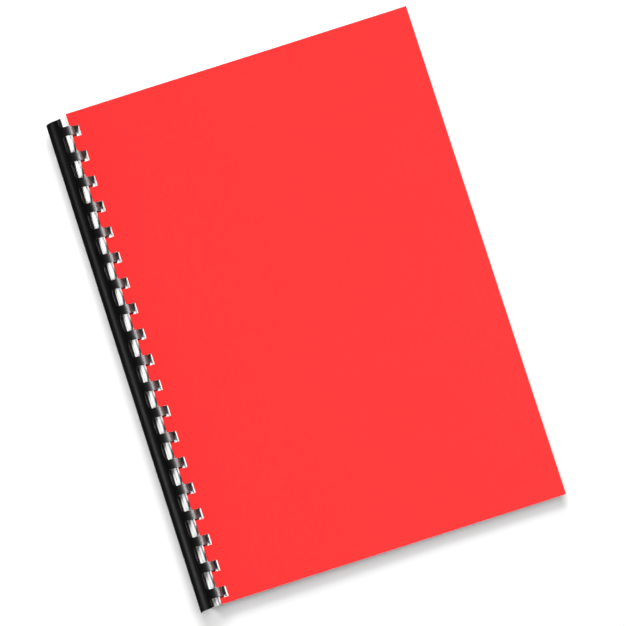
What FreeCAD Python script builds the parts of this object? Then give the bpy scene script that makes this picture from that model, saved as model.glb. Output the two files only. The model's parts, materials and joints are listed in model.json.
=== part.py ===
"""Comb-bound document with a plain card cover, modelled in millimetres.

The closed document lies on a table. +X runs from the comb to the fore edge,
+Y towards the top of the page and +Z up. The origin is the centre of the
bounding box's bottom face.
"""

import FreeCAD
import Part
import math
import os

# Punching: the hole pitch of plastic comb binding is fixed at 9/16 inch.
PITCH = 14.2875
RING_COUNT = 19
SLOT_LENGTH = 5.9
SLOT_DEPTH = 3.175
SLOT_MARGIN = 1.6

# Leaves.
LEAF_WIDTH = 189.25
LEAF_LENGTH = 273.5
TOP_MARGIN = 10.25
CORNER_RADIUS = 0.6
CARD_THICKNESS = 0.3
SHEET_THICKNESS = 0.1
SHEET_INSET = 0.4
SHEETS_PER_SECTION = 4

# Heights of the leaves above the table.
BACK_COVER_BOTTOM = 0.8
FRONT_COVER_BOTTOM = 5.85

# Comb, seen along its length: the spine is an arc about the binding axis and
# the rings spiral inwards so that their tips tuck inside the spine.
AXIS_HEIGHT = 6.65
COMB_RADIUS = 7.2
TAIL_RADIUS = 6.65
PLASTIC_THICKNESS = 0.45
SPINE_TOP_ANGLE = 95.0
SPINE_LOW_ANGLE = 205.0
SPINE_STRIPS = 4
TAIL_ANGLE = -222.0
RING_WIDTH = 5.1
ROOT_FILLET = 1.6
TIP_ROUNDING = 1.8
SPINE_CORNER = 1.5

# Bound edges of the covers, from the binding axis. The leaves fan along the
# inside of the rings, so the higher ones lie further towards the fore edge.
BACK_EDGE = -0.75
FRONT_EDGE = 4.47

# The pages lie in clumps with a little air between them. Each clump is given
# by its number of sections, its lowest sheet's bound edge and how far its
# sheets' edges slant towards the fore edge.
CLUMPS = ((2, 0.4, 0.25), (2, 1.8, 0.3), (6, 3.35, 0.35))
CLUMP_GAP = 0.12

# Placement of the binding axis in the shared frame.
COMB_LENGTH = RING_COUNT * PITCH
AXIS_X = -(FRONT_EDGE + LEAF_WIDTH - COMB_RADIUS) / 2
FIRST_TO_LAST = (RING_COUNT - 1) * PITCH
COMB_OVERHANG = TOP_MARGIN + FIRST_TO_LAST + PITCH / 2 - LEAF_LENGTH
LEAF_TOP_Y = (LEAF_LENGTH + COMB_OVERHANG) / 2
LEAF_LOW_Y = LEAF_TOP_Y - LEAF_LENGTH
COMB_LOW_Y = LEAF_LOW_Y - COMB_OVERHANG


def ring_centre(index):
    """Y of one ring's middle, counted from the top of the page."""
    return LEAF_TOP_Y - TOP_MARGIN - index * PITCH


def rounded_plate(x0, y0, x1, y1, z0, thickness, radius):
    """Flat plate with rounded corners."""
    plate = Part.makeBox(x1 - x0, y1 - y0, thickness, FreeCAD.Vector(x0, y0, z0))
    uprights = [edge for edge in plate.Edges if abs(edge.tangentAt(edge.FirstParameter).z) > 0.9]
    return plate.makeFillet(radius, uprights)


def leaf(edge_x, bottom, thickness, width, inset):
    """One punched leaf whose bound edge lies at edge_x from the axis."""
    x0 = AXIS_X + edge_x
    y0 = LEAF_LOW_Y + inset
    y1 = LEAF_TOP_Y - inset
    plate = rounded_plate(x0, y0, x0 + width, y1, bottom, thickness, CORNER_RADIUS)
    slots = []
    for index in range(RING_COUNT):
        corner = FreeCAD.Vector(x0 + SLOT_MARGIN, ring_centre(index) - SLOT_LENGTH / 2, bottom - 1)
        slots.append(Part.makeBox(SLOT_DEPTH, SLOT_LENGTH, thickness + 2, corner))
    return plate.cut(Part.makeCompound(slots))


def polar(radius, angle, lift=0.0):
    """Point about the binding axis in the plane across the comb."""
    turn = math.radians(angle)
    x = AXIS_X + radius * math.cos(turn)
    return FreeCAD.Vector(x, 0, AXIS_HEIGHT + lift + radius * math.sin(turn))


def arc(radius, start, end, lift=0.0):
    """Arc about the binding axis, or about a centre lifted above it."""
    middle = polar(radius, (start + end) / 2, lift)
    return Part.Arc(polar(radius, start, lift), middle, polar(radius, end, lift)).toShape()


def strip(profile, low_y, length):
    """Sweep a closed profile along the comb."""
    face = Part.Face(Part.Wire(Part.sortEdges(profile)[0]))
    solid = face.extrude(FreeCAD.Vector(0, length, 0))
    solid.translate(FreeCAD.Vector(0, low_y, 0))
    return solid


def spine_strip(top, low):
    """One strip of the spine between two angles, along the whole comb."""
    inner = COMB_RADIUS - PLASTIC_THICKNESS
    profile = [
        arc(COMB_RADIUS, top, low),
        Part.makeLine(polar(COMB_RADIUS, low), polar(inner, low)),
        arc(inner, low, top),
        Part.makeLine(polar(inner, top), polar(COMB_RADIUS, top)),
    ]
    return strip(profile, COMB_LOW_Y, COMB_LENGTH)


def spine():
    """Long back of the comb: curved strips side by side, the lowest with rounded corners."""
    step = (SPINE_LOW_ANGLE - SPINE_TOP_ANGLE) / SPINE_STRIPS
    angles = [SPINE_TOP_ANGLE + index * step for index in range(SPINE_STRIPS)]
    strips = [spine_strip(top, top + step) for top in angles]
    lowest = strips.pop()
    low_end_z = polar(COMB_RADIUS - PLASTIC_THICKNESS / 2, SPINE_LOW_ANGLE).z
    corners = []
    for edge in lowest.Edges:
        straight = edge.Length < PLASTIC_THICKNESS * 1.01
        if straight and abs(edge.CenterOfMass.z - low_end_z) < PLASTIC_THICKNESS:
            corners.append(edge)
    strips.append(lowest.makeFillet(SPINE_CORNER, corners))
    return Part.makeCompound(strips)


def ring_outline():
    """Plan of a ring's root, flaring into the spine with two fillets."""
    root_x = AXIS_X + COMB_RADIUS * math.cos(math.radians(SPINE_TOP_ANGLE))
    half = RING_WIDTH / 2
    reach = COMB_RADIUS + 1
    wide = half + ROOT_FILLET
    bow = ROOT_FILLET * (1 - math.sqrt(0.5))
    edges = []
    for side in (-1, 1):
        start = FreeCAD.Vector(root_x, side * wide, AXIS_HEIGHT)
        middle = FreeCAD.Vector(root_x + bow, side * (half + bow), AXIS_HEIGHT)
        end = FreeCAD.Vector(root_x + ROOT_FILLET, side * half, AXIS_HEIGHT)
        tip = FreeCAD.Vector(AXIS_X + reach, side * half, AXIS_HEIGHT)
        edges.append(Part.Arc(start, middle, end).toShape())
        edges.append(Part.makeLine(end, tip))
    low_root = FreeCAD.Vector(root_x, -wide, AXIS_HEIGHT)
    low_tip = FreeCAD.Vector(AXIS_X + reach, -half, AXIS_HEIGHT)
    edges.append(Part.makeLine(low_root, FreeCAD.Vector(root_x, wide, AXIS_HEIGHT)))
    edges.append(Part.makeLine(low_tip, FreeCAD.Vector(AXIS_X + reach, half, AXIS_HEIGHT)))
    face = Part.Face(Part.Wire(Part.sortEdges(edges)[0]))
    return face.extrude(FreeCAD.Vector(0, 0, COMB_RADIUS + 2))


def ring():
    """One ring centred on Y = 0, from the spine round to its tucked tip."""
    lift = (COMB_RADIUS - TAIL_RADIUS) / 2
    front = COMB_RADIUS - lift
    wall = PLASTIC_THICKNESS
    top = SPINE_TOP_ANGLE
    root = [
        arc(COMB_RADIUS, top, 90),
        arc(front, 90, 0, lift),
        Part.makeLine(polar(front, 0, lift), polar(front - wall, 0, lift)),
        arc(front - wall, 0, 90, lift),
        arc(COMB_RADIUS - wall, 90, top),
        Part.makeLine(polar(COMB_RADIUS - wall, top), polar(COMB_RADIUS, top)),
    ]
    upper = strip(root, -RING_WIDTH, 2 * RING_WIDTH).common(ring_outline())
    hook = [
        arc(front, 0, -90, lift),
        arc(TAIL_RADIUS, -90, TAIL_ANGLE),
        Part.makeLine(polar(TAIL_RADIUS, TAIL_ANGLE), polar(TAIL_RADIUS - wall, TAIL_ANGLE)),
        arc(TAIL_RADIUS - wall, TAIL_ANGLE, -90),
        arc(front - wall, -90, 0, lift),
        Part.makeLine(polar(front - wall, 0, lift), polar(front, 0, lift)),
    ]
    lower = strip(hook, -RING_WIDTH / 2, RING_WIDTH)
    tip = (polar(TAIL_RADIUS, TAIL_ANGLE) + polar(TAIL_RADIUS - wall, TAIL_ANGLE)) * 0.5
    corners = []
    for edge in lower.Edges:
        near = (edge.CenterOfMass - tip).Length < RING_WIDTH
        if near and edge.Length < wall * 1.01 and abs(edge.CenterOfMass.y) > RING_WIDTH * 0.4:
            if abs(edge.CenterOfMass.z - tip.z) < wall:
                corners.append(edge)
    lower = lower.makeFillet(TIP_ROUNDING, corners)
    return upper.fuse(lower).removeSplitter()


def page_sections():
    """The sheets from the back cover up, as sections of a few loose sheets."""
    stack_low = BACK_COVER_BOTTOM + CARD_THICKNESS
    free_height = FRONT_COVER_BOTTOM - stack_low - (len(CLUMPS) - 1) * CLUMP_GAP
    pitch = free_height / (sum(clump[0] for clump in CLUMPS) * SHEETS_PER_SECTION)
    bottom = stack_low + (pitch - SHEET_THICKNESS) / 2
    sections = []
    for section_count, first_edge, slant in CLUMPS:
        step = slant / (section_count * SHEETS_PER_SECTION - 1)
        edge = first_edge
        for _ in range(section_count):
            sheets = []
            for _ in range(SHEETS_PER_SECTION):
                width = LEAF_WIDTH - SHEET_INSET
                sheets.append(leaf(edge, bottom, SHEET_THICKNESS, width, SHEET_INSET))
                edge += step
                bottom += pitch
            sections.append(Part.makeCompound(sheets))
        bottom += CLUMP_GAP
    return sections


def save(node, shape):
    """Write one node's file."""
    shape.exportStep("parts/" + node + ".step")


os.makedirs("parts", exist_ok=True)

save("back_cover", leaf(BACK_EDGE, BACK_COVER_BOTTOM, CARD_THICKNESS, LEAF_WIDTH, 0))
save("front_cover", leaf(FRONT_EDGE, FRONT_COVER_BOTTOM, CARD_THICKNESS, LEAF_WIDTH, 0))

for number, sheets in enumerate(page_sections(), 1):
    save("page_section_%02d" % number, sheets)

save("comb_spine", spine())

pattern = ring()
for number in range(RING_COUNT):
    copy = pattern.copy()
    copy.translate(FreeCAD.Vector(0, ring_centre(number), 0))
    save("comb_ring_%02d" % (number + 1), copy)
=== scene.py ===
import json
import math
import random

import bmesh
import bpy
from mathutils import Euler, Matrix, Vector


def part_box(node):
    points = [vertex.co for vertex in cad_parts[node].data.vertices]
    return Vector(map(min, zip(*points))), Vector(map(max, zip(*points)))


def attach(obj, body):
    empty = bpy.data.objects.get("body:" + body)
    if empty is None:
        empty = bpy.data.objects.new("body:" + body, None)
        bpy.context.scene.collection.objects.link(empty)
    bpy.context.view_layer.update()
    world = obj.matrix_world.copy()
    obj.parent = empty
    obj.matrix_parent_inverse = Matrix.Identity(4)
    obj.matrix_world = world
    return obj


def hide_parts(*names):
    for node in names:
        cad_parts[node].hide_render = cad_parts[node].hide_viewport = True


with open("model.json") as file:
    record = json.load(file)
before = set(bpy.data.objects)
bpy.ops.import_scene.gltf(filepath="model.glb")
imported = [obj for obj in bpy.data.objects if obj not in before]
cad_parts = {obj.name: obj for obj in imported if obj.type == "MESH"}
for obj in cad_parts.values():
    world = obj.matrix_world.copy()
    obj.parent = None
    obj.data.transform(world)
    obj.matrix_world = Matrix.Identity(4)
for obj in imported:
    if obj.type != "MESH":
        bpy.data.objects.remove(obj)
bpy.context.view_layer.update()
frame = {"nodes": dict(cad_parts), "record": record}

MM = 0.001
record = frame["record"]
axis_x, _, axis_z = record["behaviour"]["joints"][0]["pos_m"]

# Comb, in metres; the same spiral as the CAD rings.
PITCH = 14.2875 * MM
RING_COUNT = 19
COMB_RADIUS = 7.2 * MM
TAIL_RADIUS = 6.65 * MM
PLASTIC_THICKNESS = 0.45 * MM
SPINE_TOP_ANGLE = 95.0
SPINE_LOW_ANGLE = 205.0
TAIL_ANGLE = -222.0
RING_HALF = 2.55 * MM
ROOT_FILLET = 1.6 * MM
TIP_ROUNDING = 1.8 * MM
SPINE_CORNER = 1.5 * MM
RIM_ROUNDING = 0.11 * MM
SPINE_STEPS = 22
ROOT_STEPS = 6
RING_STEPS = 52
TIP_STEPS = 5
TIP_TURN = 87.5

# Punched slots of every leaf.
SLOT_LENGTH = 5.9 * MM
SLOT_DEPTH = 3.175 * MM
SLOT_MARGIN = 1.6 * MM
TOP_MARGIN = 10.25 * MM

cover_low, cover_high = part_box("front_cover")
spine_low, spine_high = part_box("comb_spine")
ring_centres = [cover_high.y - TOP_MARGIN - index * PITCH for index in range(RING_COUNT)]


# ---------------------------------------------------------------- materials

CARD_ROUGHNESS = 0.6


def node_material(name):
    material = bpy.data.materials.new(name)
    material.use_nodes = True
    tree = material.node_tree
    shader = tree.nodes["Principled BSDF"]
    return material, tree, shader


def noise(tree, scale, detail, stretch=(1, 1, 1)):
    """Noise in the piece's own metres, stretched along an axis where asked."""
    place = tree.nodes.new("ShaderNodeTexCoord")
    mapping = tree.nodes.new("ShaderNodeMapping")
    mapping.inputs["Scale"].default_value = stretch
    texture = tree.nodes.new("ShaderNodeTexNoise")
    texture.inputs["Scale"].default_value = scale
    texture.inputs["Detail"].default_value = detail
    tree.links.new(place.outputs["Object"], mapping.inputs["Vector"])
    tree.links.new(mapping.outputs["Vector"], texture.inputs["Vector"])
    return texture.outputs["Fac"]


def ramp(tree, source, low, high, start=0.3, end=0.7):
    """Colour between low and high as the source goes from start to end."""
    node = tree.nodes.new("ShaderNodeValToRGB")
    node.color_ramp.elements[0].position = start
    node.color_ramp.elements[0].color = (*low, 1)
    node.color_ramp.elements[1].position = end
    node.color_ramp.elements[1].color = (*high, 1)
    tree.links.new(source, node.inputs["Fac"])
    return node.outputs["Color"]


def multiply(tree, first, second):
    node = tree.nodes.new("ShaderNodeMix")
    node.data_type = "RGBA"
    node.blend_type = "MULTIPLY"
    node.inputs["Factor"].default_value = 1.0
    tree.links.new(first, node.inputs["A"])
    tree.links.new(second, node.inputs["B"])
    return node.outputs["Result"]


def spread(tree, source, low, high):
    """Remap a 0.3 to 0.7 source onto low to high."""
    node = tree.nodes.new("ShaderNodeMapRange")
    node.inputs["From Min"].default_value = 0.3
    node.inputs["From Max"].default_value = 0.7
    node.inputs["To Min"].default_value = low
    node.inputs["To Max"].default_value = high
    tree.links.new(source, node.inputs["Value"])
    return node.outputs["Result"]


def bump(tree, shader, heights):
    """Chain of bumps, each (source, strength, distance in metres)."""
    normal = None
    for source, strength, distance in heights:
        node = tree.nodes.new("ShaderNodeBump")
        node.inputs["Strength"].default_value = strength
        node.inputs["Distance"].default_value = distance
        tree.links.new(source, node.inputs["Height"])
        if normal is not None:
            tree.links.new(normal, node.inputs["Normal"])
        normal = node.outputs["Normal"]
    tree.links.new(normal, shader.inputs["Normal"])


def card_material(name, low, high, mottle, roughness):
    """Smooth dyed card: fine fibres, a faint cloudy mottle and a fine pressed grain."""
    material, tree, shader = node_material(name)
    fibres = ramp(tree, noise(tree, 700, 5, (1, 0.35, 1)), low, high)
    clouds = ramp(tree, noise(tree, 14, 2), mottle, (1, 1, 1))
    tree.links.new(multiply(tree, fibres, clouds), shader.inputs["Base Color"])
    sheen = spread(tree, noise(tree, 240, 3), roughness - 0.05, roughness + 0.05)
    tree.links.new(sheen, shader.inputs["Roughness"])
    shader.inputs["Specular IOR Level"].default_value = 0.3
    bump(tree, shader, [(noise(tree, 1500, 3), 0.25, 0.00006), (noise(tree, 300, 2), 0.15, 0.00012)])
    return material


def edge_material(name, low, high):
    """Raw cut edge of card or paper, with the plies showing as fine lines."""
    material, tree, shader = node_material(name)
    plies = ramp(tree, noise(tree, 600, 4, (0.2, 0.2, 12)), low, high)
    tree.links.new(plies, shader.inputs["Base Color"])
    tree.links.new(spread(tree, noise(tree, 900, 2), 0.75, 0.95), shader.inputs["Roughness"])
    bump(tree, shader, [(noise(tree, 1800, 3), 0.4, 0.00005)])
    return material


def paper_material():
    """Matt white paper with faint fibres and a faint cloudy tone."""
    material, tree, shader = node_material("white_paper")
    fibres = ramp(tree, noise(tree, 1400, 5, (1, 0.4, 1)), (0.86, 0.86, 0.85), (0.93, 0.93, 0.925))
    clouds = ramp(tree, noise(tree, 30, 2), (0.975, 0.975, 0.98), (1, 1, 1))
    tree.links.new(multiply(tree, fibres, clouds), shader.inputs["Base Color"])
    tree.links.new(spread(tree, noise(tree, 500, 2), 0.8, 0.92), shader.inputs["Roughness"])
    shader.inputs["Specular IOR Level"].default_value = 0.25
    bump(tree, shader, [(noise(tree, 2400, 3), 0.3, 0.00003)])
    return material


def plastic_material():
    """Satin black sheet plastic with drawn lines along the comb and light scuffs."""
    material, tree, shader = node_material("black_comb_plastic")
    tint = ramp(tree, noise(tree, 60, 3), (0.0009, 0.0009, 0.0010), (0.0020, 0.0020, 0.0021))
    tree.links.new(tint, shader.inputs["Base Color"])
    scuffs = noise(tree, 160, 6, (1, 0.3, 1))
    tree.links.new(spread(tree, scuffs, 0.35, 0.45), shader.inputs["Roughness"])
    shader.inputs["Specular IOR Level"].default_value = 0.4
    drawn = noise(tree, 1100, 2, (1, 0.02, 1))
    bump(tree, shader, [(drawn, 0.12, 0.00003), (noise(tree, 420, 2), 0.12, 0.00005)])
    return material


red_card = card_material(
    "red_card", (0.93, 0.0285, 0.0285), (0.97, 0.0315, 0.0310), (0.985, 0.96, 0.96), CARD_ROUGHNESS
)
red_edge = edge_material("red_card_edge", (0.80, 0.34, 0.32), (0.95, 0.62, 0.58))
# The back card is black: this black is painted shade, standing in for the deep shadow inside the comb
# beside the pages' bound edges.
painted_shade_card = card_material(
    "painted_shade_card", (0.012, 0.012, 0.013), (0.022, 0.022, 0.023), (0.85, 0.85, 0.85), CARD_ROUGHNESS
)
painted_shade_edge = edge_material("painted_shade_card_edge", (0.02, 0.02, 0.02), (0.05, 0.05, 0.05))
paper = paper_material()
paper_edge = edge_material("paper_edge", (0.74, 0.74, 0.73), (0.90, 0.90, 0.89))
plastic = plastic_material()


# ---------------------------------------------------------------- the comb

def comb_surface(angle):
    """Outside point of the comb's section and its outward direction, as (x, z) pairs."""
    lift = (COMB_RADIUS - TAIL_RADIUS) / 2
    if angle >= 90:
        radius, centre = COMB_RADIUS, 0.0
    elif angle >= -90:
        radius, centre = COMB_RADIUS - lift, lift
    else:
        radius, centre = TAIL_RADIUS, 0.0
    turn = math.radians(angle)
    out = (math.cos(turn), math.sin(turn))
    return (axis_x + radius * out[0], axis_z + centre + radius * out[1]), out


def degrees_of(length, radius):
    """Angle that a length along an arc takes up."""
    return math.degrees(length / radius)


def ring_rows():
    """Rows down one ring from its root: (angle, half width)."""
    rows = []
    for step in range(1, ROOT_STEPS + 1):
        turn = math.radians(90 * step / ROOT_STEPS)
        along = ROOT_FILLET * (1 - math.cos(turn))
        half = RING_HALF + ROOT_FILLET * (1 - math.sin(turn))
        rows.append((SPINE_TOP_ANGLE - degrees_of(along, COMB_RADIUS), half))
    start = rows[-1][0]
    end = TAIL_ANGLE + degrees_of(TIP_ROUNDING, TAIL_RADIUS)
    for step in range(1, RING_STEPS + 1):
        rows.append((start + (end - start) * step / RING_STEPS, RING_HALF))
    for step in range(1, TIP_STEPS + 1):
        turn = math.radians(TIP_TURN * step / TIP_STEPS)
        along = TIP_ROUNDING * math.sin(turn)
        half = RING_HALF - TIP_ROUNDING * (1 - math.cos(turn))
        rows.append((end - degrees_of(along, TAIL_RADIUS), half))
    return rows


def build_comb():
    """The whole comb as one sheet wrapped round its section, then given its thickness."""
    bm = bmesh.new()

    def put(angle, y):
        (x, z), _ = comb_surface(angle)
        return bm.verts.new((x, y, z))

    shares = (-1, -0.55, 0, 0.55, 1)
    root_half = RING_HALF + ROOT_FILLET
    columns = [(spine_low.y, None)]
    for centre in reversed(ring_centres):
        columns += [(centre + share * root_half, centre) for share in shares]
    columns.append((spine_high.y, None))

    rows = []
    for step in range(SPINE_STEPS + 1):
        angle = SPINE_LOW_ANGLE + (SPINE_TOP_ANGLE - SPINE_LOW_ANGLE) * step / SPINE_STEPS
        below = math.radians(SPINE_LOW_ANGLE - angle) * COMB_RADIUS
        inset = 0.0
        if below < SPINE_CORNER:
            inset = SPINE_CORNER - math.sqrt(SPINE_CORNER ** 2 - (SPINE_CORNER - below) ** 2)
        row = []
        for y, centre in columns:
            if centre is None:
                y += inset if y < 0 else -inset
            row.append(put(angle, y))
        rows.append(row)
    for lower, upper in zip(rows, rows[1:]):
        for a, b, c, d in zip(lower, lower[1:], upper[1:], upper):
            bm.faces.new((a, b, c, d))

    for index, centre in enumerate(reversed(ring_centres)):
        first = 1 + index * len(shares)
        above = rows[-1][first:first + len(shares)]
        for angle, half in ring_rows():
            row = [put(angle, centre + share * half) for share in shares]
            for a, b, c, d in zip(above, above[1:], row[1:], row):
                bm.faces.new((a, b, c, d))
            above = row

    bmesh.ops.recalc_face_normals(bm, faces=bm.faces)
    probe = max(bm.faces, key=lambda face: face.calc_center_median().z)
    if probe.normal.z < 0:
        bmesh.ops.reverse_faces(bm, faces=bm.faces)
    return finish_piece(bm, "plastic_comb", [plastic], PLASTIC_THICKNESS, RIM_ROUNDING, 3)


def finish_piece(bm, name, materials, thickness, rounding, segments):
    """Mesh object from a sheet: thickness added inwards, rims rounded, smooth shading."""
    mesh = bpy.data.meshes.new(name)
    bm.to_mesh(mesh)
    bm.free()
    for material in materials:
        mesh.materials.append(material)
    piece = bpy.data.objects.new(name, mesh)
    bpy.context.scene.collection.objects.link(piece)
    shell = piece.modifiers.new("thickness", "SOLIDIFY")
    shell.thickness = thickness
    shell.offset = -1
    shell.use_even_offset = True
    if len(materials) > 1:
        shell.material_offset_rim = 1
    if rounding:
        bevel = piece.modifiers.new("rims", "BEVEL")
        bevel.width = rounding
        bevel.segments = segments
        bevel.limit_method = "ANGLE"
        bevel.angle_limit = math.radians(50)
        bevel.use_clamp_overlap = False
    weighted = piece.modifiers.new("shading", "WEIGHTED_NORMAL")
    weighted.keep_sharp = True
    for polygon in mesh.polygons:
        polygon.use_smooth = True
    return piece


# ---------------------------------------------------------------- the leaves

# The leaves sag between two places across the page, and lie that much lower beyond.
SAG_START = -70 * MM
SAG_END = 40 * MM
LEAF_SAG = 0.78 * MM

# Widest and longest cell of a leaf's grid, and how the covers' cut edges are drawn.
GRID_WIDTH = 9 * MM
GRID_LENGTH = 12 * MM
COVER_RIM = 0.05 * MM
BACK_COVER_TRIM = 0.6 * MM


def sag(x):
    """Height of a leaf against its flat place: it comes down to the table past the comb."""
    share = min(max((x - SAG_START) / (SAG_END - SAG_START), 0), 1)
    return -LEAF_SAG * share * share * (3 - 2 * share)


def lines(low, high, marks, step):
    """Grid lines through every mark, with the longer spans divided."""
    stops = [low] + marks + [high]
    result = [low]
    for a, b in zip(stops, stops[1:]):
        count = max(1, math.ceil((b - a) / step))
        result += [a + (b - a) * part / count for part in range(1, count + 1)]
    return result


def leaf_sheet(bm, top, x0, x1, y0, y1, shift_low=0.0, shift_high=0.0, slide=0.0):
    """Punched grid; its columns are shifted by one amount at the foot and another at the head."""
    slots = sorted(ring_centres)
    marks = []
    for centre in slots:
        marks += [centre - SLOT_LENGTH / 2, centre + SLOT_LENGTH / 2]
    xs = lines(x0, x1, [x0 + SLOT_MARGIN, x0 + SLOT_MARGIN + SLOT_DEPTH], GRID_WIDTH)
    ys = lines(y0, y1, marks, GRID_LENGTH)
    grid = []
    for y in ys:
        share = (y - y0) / (y1 - y0)
        shift = shift_low + (shift_high - shift_low) * share
        grid.append([bm.verts.new((x + shift, y + slide, top + sag(x + shift))) for x in xs])
    in_slot_x = x0 + SLOT_MARGIN
    for j in range(len(ys) - 1):
        middle_y = (ys[j] + ys[j + 1]) / 2
        punched = any(abs(middle_y - centre) < SLOT_LENGTH / 2 for centre in slots)
        for i in range(len(xs) - 1):
            middle_x = (xs[i] + xs[i + 1]) / 2
            if punched and in_slot_x < middle_x < in_slot_x + SLOT_DEPTH:
                continue
            bm.faces.new((grid[j][i], grid[j][i + 1], grid[j + 1][i + 1], grid[j + 1][i]))
    loose = [vert for vert in bm.verts if not vert.link_faces]
    bmesh.ops.delete(bm, geom=loose, context="VERTS")


def build_cover(node, name, materials, trim=0.0):
    """Punched card; trim is how much shorter it is cut at the head and at the foot."""
    low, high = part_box(node)
    bm = bmesh.new()
    leaf_sheet(bm, high.z, low.x, high.x, low.y + trim, high.y - trim)
    return finish_piece(bm, name, materials, high.z - low.z, COVER_RIM, 2)


SHEET_THICKNESS = 0.1 * MM
SHEET_INSET = 0.4 * MM
SHEETS_PER_SECTION = 4
LOOSE_SHEETS = 16
LOOSE_HEAD_EDGES = (0.95 * MM, 1.3 * MM)
TIGHT_HEAD_EDGES = (3.2 * MM, 4.3 * MM)
SHEET_JITTER = 0.03 * MM
SHEET_SLIDE = 0.15 * MM

section_nodes = sorted(n for n in frame["nodes"] if n.startswith("page_section_"))
sheet_count = len(section_nodes) * SHEETS_PER_SECTION


def head_edge(number):
    """Bound edge of one sheet at the head, from the binding axis; sheets are counted from below."""
    if number < LOOSE_SHEETS:
        low, high = LOOSE_HEAD_EDGES
        share = number / (LOOSE_SHEETS - 1)
    else:
        low, high = TIGHT_HEAD_EDGES
        share = (number - LOOSE_SHEETS) / (sheet_count - 1 - LOOSE_SHEETS)
    return low + (high - low) * share


def build_section(index, node):
    """Loose sheets: at the foot their edges lie as in the CAD, at the head in two clumps."""
    low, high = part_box(node)
    pitch = (high.z - low.z - SHEET_THICKNESS) / (SHEETS_PER_SECTION - 1)
    width = cover_high.x - cover_low.x - SHEET_INSET
    step = (high.x - low.x - width) / (SHEETS_PER_SECTION - 1)
    chance = random.Random(100 + index)
    bm = bmesh.new()
    for turn in range(SHEETS_PER_SECTION):
        number = index * SHEETS_PER_SECTION + turn
        x0 = low.x + step * turn
        shift_high = axis_x + head_edge(number) - x0
        jitter = chance.uniform(-SHEET_JITTER, SHEET_JITTER)
        slide = chance.uniform(-SHEET_SLIDE, SHEET_SLIDE)
        top = low.z + pitch * turn + SHEET_THICKNESS
        leaf_sheet(bm, top, x0, x0 + width, low.y, high.y, jitter, shift_high + jitter, slide)
    return finish_piece(bm, node.replace("section", "stack"), [paper, paper_edge], SHEET_THICKNESS, 0, 1)


comb = build_comb()
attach(comb, "comb")
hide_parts("comb_spine", *["comb_ring_%02d" % (n + 1) for n in range(RING_COUNT)])

front = build_cover("front_cover", "red_front_cover", [red_card, red_edge])
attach(front, "front_cover")
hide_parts("front_cover")

# Back cover in black card: its black is painted shade for the dark gap inside the comb at the head; it
# is cut shorter at head and foot.
back = build_cover("back_cover", "painted_shade_back_cover", [painted_shade_card, painted_shade_edge], BACK_COVER_TRIM)
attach(back, "back_cover")
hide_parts("back_cover")

stacks = []
for index, node in enumerate(section_nodes):
    stack = build_section(index, node)
    stacks.append(stack)
    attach(stack, node)
    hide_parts(node)


# ---------------------------------------------------------------- floor, lights, camera

FLOOR_DROP = 0.02 * MM


def build_floor():
    """Plain pale table a hair below the rings; it isn't mirrored in the plastic or the card."""
    bm = bmesh.new()
    bmesh.ops.create_grid(bm, x_segments=8, y_segments=8, size=4.0)
    mesh = bpy.data.meshes.new("floor")
    bm.to_mesh(mesh)
    bm.free()
    material, tree, shader = node_material("pale_floor")
    clouds = ramp(tree, noise(tree, 8, 2), (0.93, 0.93, 0.93), (0.95, 0.95, 0.95))
    tree.links.new(clouds, shader.inputs["Base Color"])
    shader.inputs["Roughness"].default_value = 0.9
    shader.inputs["Specular IOR Level"].default_value = 0.1
    mesh.materials.append(material)
    floor = bpy.data.objects.new("floor", mesh)
    floor.location.z = -FLOOR_DROP
    floor.visible_glossy = False
    bpy.context.scene.collection.objects.link(floor)
    return floor


def area_light(name, toward, distance, size, power, glossy=True, diffuse=True):
    """Soft rectangular light that looks at the document from one direction."""
    data = bpy.data.lights.new(name, "AREA")
    data.shape = "RECTANGLE"
    data.size, data.size_y = size
    data.energy = power
    light = bpy.data.objects.new(name, data)
    direction = Vector(toward).normalized()
    light.location = direction * distance
    light.rotation_euler = direction.to_track_quat("Z", "Y").to_euler()
    light.visible_glossy = glossy
    light.visible_diffuse = diffuse
    bpy.context.scene.collection.objects.link(light)
    return light


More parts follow.
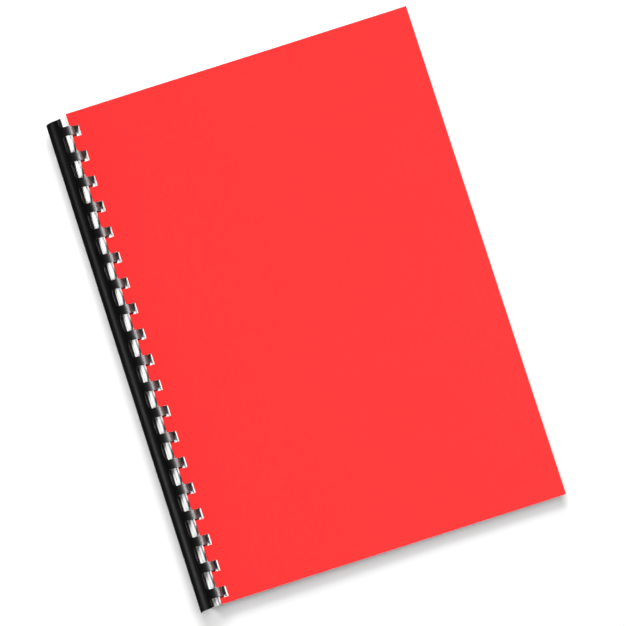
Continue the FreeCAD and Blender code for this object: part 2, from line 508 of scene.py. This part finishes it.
def receivers(name, objects):
    """Collection of the objects that a light falls on."""
    group = bpy.data.collections.new(name)
    for item in objects:
        group.objects.link(item)
    return group


floor = build_floor()
on_floor = receivers("floor_only", [floor])
on_pages = receivers("pages_only", stacks)
on_covers = receivers("covers_and_comb", [front, back, comb])
on_document = receivers("document", [front, back, comb] + stacks)

cover_key = area_light("cover_key", (0.36, 0.05, 1.0), 1.9, (0.45, 0.35), 46, glossy=False)
cover_key.light_linking.receiver_collection = on_covers
page_key = area_light("page_key", (0.12, 1.43, 1.0), 1.9, (0.3, 0.25), 76, glossy=False)
page_key.light_linking.receiver_collection = on_pages
left_fill = area_light("left_fill", (-1.0, 0.2, 0.5), 1.6, (1.2, 0.8), 5, glossy=False)
front_fill = area_light("front_fill", (0.1, -1.0, 0.3), 1.7, (1.4, 0.6), 13, glossy=False)
for light in (left_fill, front_fill):
    light.light_linking.receiver_collection = on_document
floor_light = area_light("floor_light", (0.15, 1.0, 0.75), 2.0, (1.0, 1.0), 36, glossy=False)
floor_sky = area_light("floor_sky", (0.0, 0.1, 1.0), 1.2, (2.0, 2.0), 20, glossy=False)
for light in (floor_light, floor_sky):
    light.light_linking.receiver_collection = on_floor
area_light("left_strip", (-1.0, -0.3, 0.38), 1.5, (1.6, 0.25), 7.5, diffuse=False)
area_light("right_strip", (1.0, 0.0, 0.1), 1.3, (2.0, 0.36), 75, diffuse=False)

world = bpy.data.worlds.new("studio")
world.use_nodes = True
world.node_tree.nodes["Background"].inputs["Color"].default_value = (1, 1, 1, 1)
world.node_tree.nodes["Background"].inputs["Strength"].default_value = 0.04
bpy.context.scene.world = world
bpy.context.scene.view_settings.view_transform = "Standard"

camera_data = bpy.data.cameras.new("camera")
camera_data.lens = 355.5
camera_data.sensor_width = 36
camera_data.clip_end = 20
camera = bpy.data.objects.new("camera", camera_data)
camera.location = (-0.06586, -0.46972, 3.22492)
camera.rotation_euler = Euler([math.radians(a) for a in (8.208, 1.346, -17.722)], "XYZ")
bpy.context.scene.collection.objects.link(camera)
bpy.context.scene.camera = camera
